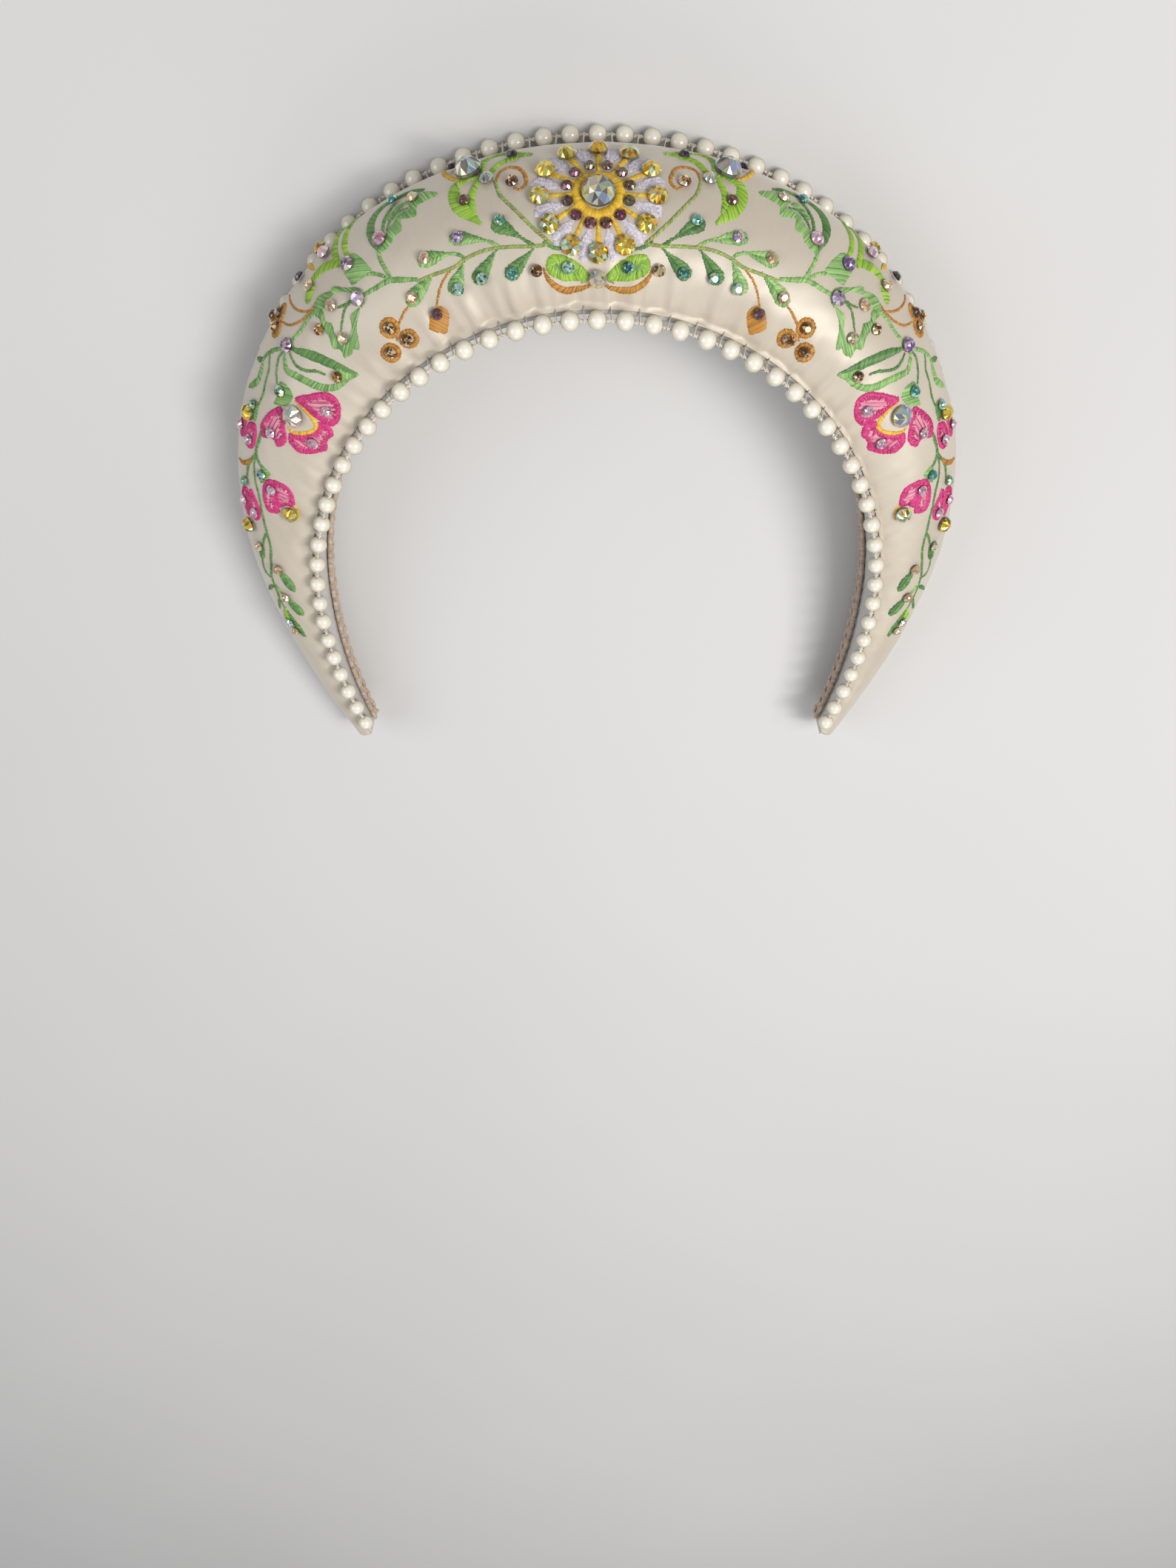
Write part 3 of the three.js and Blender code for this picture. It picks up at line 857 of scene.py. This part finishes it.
# Satin columns: thread, widths from start to end in tenths of a millimetre, line
STROKES = [
    (OCHRE, "7 9 9", "90,590 86,634 77,650 68,632 63.5,590 63,545 69,519 73.5,530"),
    (OCHRE, "9 14 21 19 16 11 6", "4,103 13,88 25,80 38,90 48,117 54,150 56.5,187"),
    (DARK, "6 11", "28,250 41,258 52,286"),
    (DARK, "8", "62.5,277 66,288 73,313"),
    (LEAF, "8", "98.5,301 102,317 111,343"),
    (LEAF, "8", "137,301 141,324 151,343"),
    (LIME, "22 30 24 20 18", "57,728 65,735 76,720 86,695 93,655 96.5,625"),
    (LIME, "16 20 20 19 17", "66,752 78,782 90,797 98,775 102,730 102,665"),
    (LIME, "18 19 20 20 12", "103,635 109,600 114.5,555 116.5,510 115.5,460"),
    (LIME, "16 20 28 33 40 42 32 12",
     "106,642 118,644 128,625 131,580 129.5,530 125,487 119,452 112,412"),
    (GOLD, "10 13 11", "124,655 133,700 139,770 141,830"),
    (LEAF, "12 15 12 12", "193,308 207,335 220,362 238,370 256,380"),
    (LEAF, "9", "221,380 230,420 238,442"),
    (LEAF, "10", "218.5,495 219,440 217,368"),
    (DARK, "12 18 18 22 28 29 26 14",
     "160,695 170,724 185,738 200,738 211.5,705 218.5,645 220.5,570 218,508"),
    (DARK, "8", "178,622 188,630 198,600 203,570"),
    (DARK, "11 9", "189,700 197,665 204,620 208,560"),
    (LEAF, "16", "176,662 188,652 199,615"),
    (LIME, "18 20 15", "250,570 250.5,640 247,720 241,800 236,880"),
    (LIME, "22 22 18 12", "262,568 262.5,650 260,740 254,830 250,900"),
    (LIME, "20 32 34 28", "257,566 270,612 283,638 297,632"),
    (GOLD, "10 16 12", "291.5,690 295.5,745 301,820"),
    (DARK, "6", "268,395 280,385 288,360 296.5,333"),
    (DARK, "6", "267,400 276,404 284,416"),
    (LEAF, "10", "303,488 320,495 336,490 352,500"),
    (OCHRE, "9 6 6 6", "304,515 313,511 324,516 334,533 344,570 350,630"),
    (OCHRE, "6", "314,515 322,550 328,600 331,660 331,730"),
    (DARK, "12 24 26 28 22 10", "318,158 325,215 332,280 339.5,345 347,405 353,448 357.5,488"),
    (LEAF, "14 17 18 21 22 20 19 18 10",
     "318,158 330,173 342,182 353,205 362.5,250 369,320 374,380 378,435 372,480 366.5,500"),
    (DARK, "8", "346,265 352,310 360,350 365,395 364.5,435 362,470"),
    (LEAF, "10 12 12", "365,522 376,572 388,612 397,625"),
    (DARK, "10 16 12", "395,620 400,650 404,700"),
    (LEAF, "12 20 23 23 10", "398,615 408,598 418,596 426,625 434,662"),
    (DARK, "6.5", "383,592 390,568 396,546 410,532 424,514 440,522"),
    (DARK, "7", "365,512 376,519 388,495 399,455"),
    (GOLD, "8 9 10 11 11 11 12 12 8",
     "398,320 398.5,270 401,220 406,182 413,172 421,190 429,225 434,265 433,300"),
    (OCHRE, "5", "150,285 158,274 170,245 180,205 187,172"),
    (OCHRE, "6", "212,236 222,222 232,203 242,180 250,145"),
    (DARK, "12 11 9 8 10 12", "463,450 475,455 486,460 494,448 501,415 503,375"),
    (DARK, "9", "488,455 497,470 504,492 515,514 530,517"),
    (OCHRE, "9 14 14 10", "499,478 506,500 513,540 518,590 519,640"),
    (DARK, "7.5",
     "492,455 506,460 522,446 540,411 558,386 575,365 590,350 605,336 620,336 635,355 650,376 "
     "663,396 680,396 696,386 714,365"),
    (DARK, "7", "592,352 601,380 613,404"),
    (DARK, "7", "640,462 652,476 662,460 666,400"),
    (DARK, "8 14 8", "679,400 683,455 692,535"),
    (DARK, "9", "699,390 710,430 719,462"),
    (LEAF, "8 13 8", "674,385 683,345 688,310"),
    (DARK, "10 24 26 18", "718,345 734,318 746,285 763,250"),
    (GOLD, "9", "534,158 538,136 545,124 554,122"),
]

# Filled shapes: thread, angle of the stitches, outline
FILLS = [
    (LEAF, 70, "146.5,625 156,668 166,698 178,700 176,640 178,585 171,556 168,600 158,610"),
    (LEAF, 70, "171,556 180,568 187,580 189,525 198,518 203,493 217,480 217,512 208,535 203,565 "
               "196,588 188,612 178,612"),
    (LEAF, 30, "231,435 232,470 235,512 241,558 249,578 258,570 262,530 259,470 257,445 245,440"),
    (LIME, 40, "297,600 299,572 304,556 312,550 312.5,590 307,612"),
    (LEAF, 60, "250,395 256,430 266.5,462 274.5,498 278.5,512 282,500 290,520 298.5,532 "
               "304.5,525 308.5,500 305,475 296,462 290,475 280,475 270,452 262,420"),
    (LEAF, -28, "254,352 268,332 280,287 286.5,252 293.5,222 299,240 307,228 314.5,238 312.5,262 "
                "312,285 317.8,305 312.5,350 312,390 309.5,440 311,480 303,490 300,455 304.5,420 "
                "299.5,390 303.5,350 303,315 299,285 291.5,285 284.5,305 277,345 268,352"),
    (LEAF, -35, "316.5,150 320.5,195 327.5,240 333,235 333,200 340,185 330,163"),
    (OCHRE, 60, "182,170 177,130 180,100 187,65 194,45 200,70 207,110 205,135 198,165 190,175"),
    (LEAF, 65, "394,440 391,400 392,360 396,335 405,340 412,360 418,400 421,425 410,435 400,450"),
    (DARK, 80, "436,540 440,516 448,507 457,512 456,535 447,560 439,560"),
    (LEAF, 60, "502,405 501,370 505,328 512,350 520,370 523,395 514,408"),
]

# Petals: width of the deep pink rim, angle of the pale stitches, outline
PETALS = [
    (1.8, 50, "398,315 394,330 388,311 380,285 370,250 362,215 359.5,175 362,140 370,110 380,92 "
              "390,90 397,105 399.5,150 399.5,205 398,260"),
    (1.8, 100, "398,112 408,77 420,88 432,70 441,100 449,140 455,200 452,250 448,275 438,285 "
               "434,255 424,195 410,163 401,175"),
    (1.7, 10, "417,385 425,415 435,440 445,460 455,466 463,450 466,425 461,385 460,355 464,330 "
              "460,300 452,285 443,295 430,330 421,355"),
    (1.7, 20, "459,510 465,485 475,475 485,480 491,500 493,530 491,560 485,582 474,578 464,560"),
    (1.4, 80, "463,585 474,590 486,596 489,625 482,660 470,665 463,630"),
    (1.7, 0, "512,300 530,282 545,250 553,248 557,290 557,330 550,360 540,375 530,380 521,370 "
             "512,345"),
    (1.6, 90, "509,306 508,250 508.5,220 513,185 521,163 530,152 537,165 538,205 545,254 531,290 "
              "518,304"),
    (1.7, 10, "540,470 545,448 552,420 560,393 570,392 577,410 582,450 576,490 560,500 546,500"),
    (1.6, 60, "545,512 560,508 576,500 582,530 575,570 567,585 560,605 550,590 545,560"),
]

# Leaf with a dark eye beside the crown
EYE_LEAF = ("4,135 12,175 22,207 34,230 45,237 52,215 54,180 49,152 38,128 24,118 11,120")

# Round pads under the berry stones, and their radii
BERRIES = "247.5,204 236.5,120 265.5,120 348,695 361,650 360,760"
BERRY_PAD = 2.7
BERRY_HOLE = 1.2


def numbers(text, parts):
    """The groups of numbers in a text, given in tenths, hundredths or thousandths."""
    return np.array([group.split(",") for group in text.split()], float) / parts


def chart(text, side):
    """Places of a chart, on the right half for side 1 and the left half for -1."""
    p = numbers(text, 1000)
    p[:, 0] = side * (p[:, 0] * CHART_SPREAD + CHART_SHIFT)
    return p


def medallion_place(radius, turn):
    """Place at a radius in millimetres and a share of a turn round the medallion."""
    middle = np.array([0.0, MEDALLION_ACROSS])
    angle = TURN * turn
    return middle + radius * np.array([math.sin(angle), math.cos(angle)]) / scales(middle)


def embroider_medallion():
    around = np.linspace(0, 1, 130, endpoint=False)
    GOLD.add([medallion_place(4.0, t) for t in around],
             [medallion_place(6.7, t + 0.004) for t in around], 0.6, 0.6)
    for i in range(MEDALLION_STONES):
        turn, between = i / MEDALLION_STONES, (i + 0.5) / MEDALLION_STONES
        rib = np.array([medallion_place(r, turn) for r in (6.0, 9.6, 12.8)])
        GOLD.column(rib, [1.0, 1.0, 1.5], 0.6)
        for lean, reach in ((-0.012, 16.0), (0.0, 16.6), (0.012, 15.7)):
            LILAC.leaf(medallion_place(8.4, between), medallion_place(reach, between + lean),
                       2.6, 0.7, height=0.4, ragged=0.5)


def embroider_side(side):
    """All the embroidery of one half. Its greens are toned by side, as painted light and shade.
    """
    # Painted light and shade: green is toned darker on the left half, dark green darker on the
    # right
    tones = {DARK: 0.4 - 0.1 * side, LEAF: 0.42 + 0.08 * side}
    for width, line in TWISTED:
        line = chart(line, side)
        LEAF.column(line, width, 0.4, slant=1.2)
        OCHRE.column(line, width * 0.9, 0.6, slant=1.6, height=0.5, every=3)
    for thread, ends, width, fullest in LEAVES:
        thread.leaf(*chart(ends, side), width, fullest, tones.get(thread, 0.5))
    for thread, widths, line in STROKES:
        widths = numbers(widths, 10).ravel()
        thread.column(chart(line, side), widths, tones.get(thread, 0.5), taper=0.7)
    for thread, angle, outline in FILLS:
        thread.fill(chart(outline, side), angle * side, 0.5, tones.get(thread, 0.5))
    for rim, angle, outline in PETALS:
        outline = chart(outline, side)
        PALE.fill(outline, angle * side, 0.3, inset=rim * 0.6)
        PINK.fill(outline, angle * side, 0.4, 0.3, inset=rim, step=1.1)
        PINK.ring(outline, rim, 0.42)
    eye = chart(EYE_LEAF, side)
    DARK.fill(eye, 60 * side, 0.5, 0.9, inset=1.4)
    LIME.ring(eye, 2.5, 0.3, turn=0.9 * side)
    for center in chart(BERRIES, side):
        OCHRE.disc(center, BERRY_PAD, BERRY_HOLE)


# Names and stitches of the threads, with their dark and light colour
THREADS = [
    ("dark_green", DARK, "4,12.5,3 20,40,11"),
    ("green", LEAF, "7.5,20.5,4.5 43,68,24"),
    ("lime", LIME, "12,27,1.5 48,74,9"),
    ("pink", PINK, "42,0.8,11 78,5,26"),
    ("pale_pink", PALE, "50,10,20 84,48,52"),
    ("ochre", OCHRE, "26,9,1 68,33,4.5"),
    ("gold", GOLD, "55,28,1 92,62,5"),
    ("lilac", LILAC, "42,38,44 85,80,86"),
]


def embroidery():
    embroider_medallion()
    for side in (1, -1):
        embroider_side(side)
    for name, stitches, colors in THREADS:
        dark, light = numbers(colors, 100)
        stitches.build("embroidery_" + name, thread_material("thread_" + name, dark, light))


# Cut stones

# Facet colours of the kinds of stone, as red,green,blue in hundredths: the stones' own colours
# mixed with painted reflections and highlights
PALETTES = {
    "clear": "62,60,52 50,60,48 80,62,52 42,48,70 90,82,40 55,75,66 26,24,22",
    "amber": "90,60,5 72,56,8 98,78,18 56,54,14 90,38,2 62,84,74 34,24,2",
    "volcano": "12,3,4 22,4,11 5,8,3 18,7,6 16,18,5 28,10,14",
    "teal": "7,33,27 15,50,41 52,82,74 3,15,14 50,56,28",
    "violet": "26,13,46 74,62,68 48,40,46 88,76,66 24,13,22",
    "peach": "80,52,30 88,74,55 50,32,18 74,40,30 66,70,46",
    "topaz": "20,8,2 45,22,5 90,72,45 10,4,2",
    "rose": "80,50,58 92,75,78 55,25,34 85,70,85",
    "black": "3,3,3.5 10,9,10 22,20,20 5,2,4",
}
STONE_MATERIALS = {name: stone_material("cut_" + name) for name in PALETTES}
# The last faces of each stone, girdle and back, are painted darker as shade
SHADE_PAINTED_FACES = 17  # the girdle and the back, the last faces of a stone
GLUE_LIFT = 0.35
LOW_CROWN_STONE = ((0.0, 0.132), 4.4, "clear")  # at the crown, near the front seam


def brilliant(center, normal, ahead, diameter, table, height):
    """Vertices and faces of a flat-backed stone. Its table is a fan of eight, because the
    cut behind it shows through."""
    side = np.cross(normal, ahead)
    verts = []
    for count, size, rise, turn in ((8, table, height, 0.5), (8, 0.74, height * 0.74, 0),
                                    (16, 1, height * 0.28, 0), (16, 0.97, 0, 0)):
        angle = TURN * (np.arange(count)[:, None] + turn) / count
        flat = ahead * np.cos(angle) + side * np.sin(angle)
        verts.append(center + flat * (diameter / 2) * size + normal * rise * diameter)
    verts.append([center + normal * height * diameter])
    t, k, g, b, middle = 0, 8, 16, 32, 48
    faces = [(middle, t + i, t + (i + 1) % 8) for i in range(8)]
    for i in range(8):
        faces += [(t + i, k + i, t + (i - 1) % 8),
                  (t + i, k + i, g + 2 * i + 1, k + (i + 1) % 8),
                  (k + i, g + 2 * i, g + 2 * i + 1),
                  (k + i, g + (2 * i - 1) % 16, g + 2 * i)]
    faces += [(g + i, b + i, b + (i + 1) % 16, g + (i + 1) % 16) for i in range(16)]
    faces.append(tuple(range(b, middle))[::-1])
    return np.concatenate(verts), faces


def facet_colors(palette, faces, rng):
    """Colours of the facets. Each stone leans to two of its palette's colours, and each facet is
    made lighter or darker at random, as painted reflections.
    """
    colors = numbers(PALETTES[palette], 100)
    count = len(faces)
    lean = rng.integers(0, len(colors), 2)
    pick = np.where(rng.uniform(size=count) < 0.5, lean[rng.integers(0, 2, count)],
                    rng.integers(0, len(colors), count))
    picked = colors[pick] * rng.uniform(0.55, 1.15, (count, 1))
    # Painted shade: the girdle and back faces are darkened
    picked[-SHADE_PAINTED_FACES:] *= 0.35
    return np.clip(picked, 0, 1)


def stone_parts(shares, diameter, lift, rng, table=0.5, height=0.38):
    """A stone on the satin at a place, turned by chance about its own axis."""
    normal = unit(grid_value(SMOOTH_NORMALS, shares))
    center = grid_value(SMOOTH_POINTS, shares) + normal * lift
    angle = rng.uniform(0, TURN)
    first = unit(np.cross(normal, np.array([0.3, 0.5, 0.8])))
    ahead = first * math.cos(angle) + np.cross(normal, first) * math.sin(angle)
    tilt = unit(normal + rng.normal(0, 0.02, 3))
    ahead = unit(ahead - tilt * (ahead @ tilt))
    return brilliant(center, tilt, ahead, diameter, table, height)


def main_stone(node, shares, diameter, palette, seed, table=0.5, height=0.38):
    rng = np.random.default_rng(seed)
    stone = stone_parts(shares, diameter, CLEARANCE, rng, table, height)
    obj = new_piece("cut_" + node, stone, STONE_MATERIALS[palette], False)
    set_facets(obj, facet_colors(palette, stone[1], rng))
    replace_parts(obj, node)


MAIN_STONES = [
    # name, along, across, diameter, palette
    ("crown_crystal", 0.12, 0.69, 7.1, "clear"),
    ("crown_companion", 0.104, 0.602, 3.6, "clear"),
    ("flower_stone", 0.425, 0.297, 6.0, "clear"),
    ("outer_flower_stone", 0.465, 0.575, 4.6, "amber"),
    ("bud_stone", 0.559, 0.168, 4.6, "amber"),
    ("outer_bud_stone", 0.605, 0.512, 4.6, "amber"),
]

# Small glued stones of one half: along,across in thousandths on the chart of the
# embroidery, diameter and palette
SMALL_STONES = (
    "92.5,400/2.9/teal 136.5,386/3/violet 175.5,364/3/peach 91,190/2.9/teal 125,204/3/teal "
    "154,199/3/teal 205,252/3/peach 29,180/3/teal 64,183/3/topaz 75.5,556/3.3/topaz "
    "122.5,527/3/volcano 74,730/3/black 130,772/3/black 170.5,655/3/peach 190,712/3/teal "
    "212,540/3.9/rose 252,536/3.9/violet 273.5,705/3.9/rose 301,612/3.2/peach 280,800/3.9/amber "
    "311,745/3/black 259,382/4/violet 289,446/3.3/peach 315.5,412/3/topaz 299,302/3.1/peach "
    "358,505/3.9/violet 336.5,215/3/topaz 189,150/3/volcano 247,204/3/topaz 237.5,124/3/topaz "
    "264,124/3/topaz 349,690/3/topaz 360.5,652/3/topaz 360,755/3/topaz 402,415/3.3/teal "
    "381.5,165/3/rose 431,150/3/rose 453,382/3/rose 442,556/3/teal 481,520/2.9/rose "
    "476,628/2.9/rose 511,385/3/teal 523,305/2.9/rose 569,440/3/rose 535,530/3/teal "
    "562,545/2.9/rose 617,440/3/peach 643,287/3.2/peach 690,285/3.2/peach 738,350/3/clear "
    "752,315/3/peach")


def cut_stones():
    """The stones that the part has too, each with a seed of its own."""
    main_stone("center_stone", (0.0, MEDALLION_ACROSS), 8.4, "clear", 100, 0.55)
    for i in range(MEDALLION_STONES):
        label = "_stone_%02d" % (i + 1)
        petal = medallion_place(PETAL_RADIUS, i / MEDALLION_STONES)
        main_stone("petal" + label, petal, 5.0, "amber", 200 + i, 0.42)
        ring = medallion_place(RING_RADIUS, i / MEDALLION_STONES + 0.5 / MEDALLION_STONES)
        main_stone("ring" + label, ring, 2.9, "volcano", 300 + i)
    for k, (name, along, across, diameter, palette) in enumerate(MAIN_STONES):
        for i, (label, side) in enumerate((("_left", -1), ("_right", 1))):
            main_stone(name + label, (along * side, across), diameter, palette,
                       400 + 2 * k + i, 0.3, 0.45)


def small_stones():
    """The small glued stones, as one piece for each colour."""
    rng = np.random.default_rng(77)
    rows = [row.split("/") for row in SMALL_STONES.split()]
    places = [(chart(spot, side)[0], float(diameter), palette)
              for side in (1, -1) for spot, diameter, palette in rows]
    groups = {}
    for shares, diameter, palette in places + [LOW_CROWN_STONE]:
        stone = stone_parts(shares, diameter, GLUE_LIFT, rng)
        colors = facet_colors(palette, stone[1], rng)
        groups.setdefault(palette, []).append((stone, colors))
    for palette, stones in groups.items():
        obj = new_piece("small_stones_" + palette, joined([stone for stone, _ in stones]),
                        STONE_MATERIALS[palette], False)
        set_facets(obj, np.concatenate([colors for _, colors in stones]))


# Floor, lights and camera

FOCAL_PX = 1700.0
PHOTO_WIDTH_PX = 1588.0
CAMERA_WORN = (-2.5, -316.4, 107.6)
CAMERA_AXIS_WORN = (0.0, 0.7771, -0.6293)
CAMERA_UP_WORN = (0.0, 0.6293, 0.7771)
SENSOR_MM = 36.0

LIGHTS = [
    # name, position, sides, watts, colour
    ("key", (0.45, 0.1, 0.85), (0.45, 0.45), 5.6, (1, 0.98, 0.95)),
    ("window", (0.5, 0.02, 0.8), (0.1, 0.26), 1.4, (1, 0.98, 0.95)),
    ("fill", (-0.65, 0.15, 0.6), (0.6, 0.6), 2.2, (0.93, 0.96, 1)),
    ("front", (0.1, -0.7, 0.6), (0.7, 0.4), 1.6, (1, 1, 1)),
]
LIGHTS_AIM = Vector((0, 0.02, 0.02))
FLOOR_CORNERS = [(-4, -4, 0), (4, -4, 0), (4, 4, 0), (-4, 4, 0)]


def floor():
    look = Look("pale_floor")
    mesh = bpy.data.meshes.new("floor")
    mesh.from_pydata(FLOOR_CORNERS, [], [(0, 1, 2, 3)])
    pale, paler = (0.62, 0.61, 0.60), (0.66, 0.65, 0.64)
    mesh.materials.append(look.shade({
        "Base Color": look.ramp(look.noise(3, 3), (0.3, pale), (0.7, paler)),
        "Roughness": 0.85,
    }))
    add_object("floor", mesh)


def lights():
    """Soft studio light: a pale world, and area lights turned to the band's middle."""
    world = bpy.data.worlds.new("studio")
    world.use_nodes = True
    background = world.node_tree.nodes["Background"]
    background.inputs["Color"].default_value = (0.86, 0.88, 0.92, 1)
    background.inputs["Strength"].default_value = 0.3
    bpy.context.scene.world = world
    for name, position, sides, watts, color in LIGHTS:
        data = bpy.data.lights.new(name, "AREA")
        data.shape = "RECTANGLE"
        data.size, data.size_y = sides
        data.energy = watts
        data.color = color
        obj = add_object(name, data)
        obj.location = position
        aim = LIGHTS_AIM - Vector(position)
        obj.rotation_euler = aim.to_track_quat("-Z", "Y").to_euler()


def camera():
    """The photograph's camera, as found in the worn frame."""
    data = bpy.data.cameras.new("photo_camera")
    data.sensor_fit = "HORIZONTAL"
    data.sensor_width = SENSOR_MM
    data.lens = SENSOR_MM * FOCAL_PX / PHOTO_WIDTH_PX
    data.clip_start = 0.01
    back = -Vector(lay(CAMERA_AXIS_WORN)).normalized()
    up = Vector(lay(CAMERA_UP_WORN)).normalized()
    right = up.cross(back).normalized()
    pose = Matrix((right, back.cross(right), back)).transposed().to_4x4()
    pose.translation = Vector((lay(CAMERA_WORN) + SHIFT) * MM)
    obj = add_object("photo_camera", data)
    obj.matrix_world = pose
    bpy.context.scene.camera = obj


padded_band()
strand("front_pearls", front_centers, front_seam, FRONT_PEARL_PITCH, "front_pearl_strand")
strand("back_pearls", back_centers, back_seam, BACK_PEARL_PITCH, "back_pearl_strand")
inner_lining()
lining_braid()
embroidery()
cut_stones()
small_stones()
floor()
lights()
camera()
bpy.context.scene.view_settings.view_transform = "Standard"
